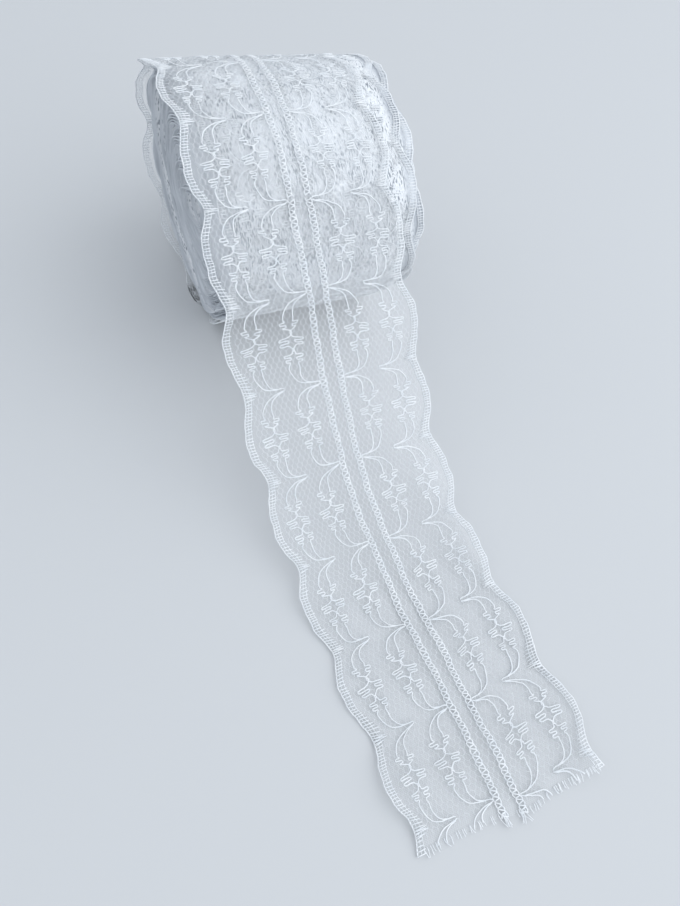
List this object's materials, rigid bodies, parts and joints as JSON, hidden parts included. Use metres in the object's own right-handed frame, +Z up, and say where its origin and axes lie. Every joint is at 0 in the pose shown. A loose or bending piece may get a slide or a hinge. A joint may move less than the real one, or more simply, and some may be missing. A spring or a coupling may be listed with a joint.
{
  "type": "roll of lace trim",
  "caption": "Soft coreless roll of white scalloped lace trim, its ends uneven, with the loose end let down in front and laid flat on the surface.",
  "frame": {"origin": "on the flat spot under the roll, straight below the roll's axis", "axes": "+X along the roll's axis, -Y from the roll to the loose end's cut, +Z up"},
  "size_m": [0.0529, 0.183, 0.0621],
  "materials": {
    "wound_lace": "white warp-knitted nylon lace, many layers deep",
    "loose_lace": "white warp-knitted nylon lace, one sheer layer"
  },
  "bodies": {
    "root": {"wound_roll": "wound_lace", "loose_end": "loose_lace"}
  },
  "joints": []
}
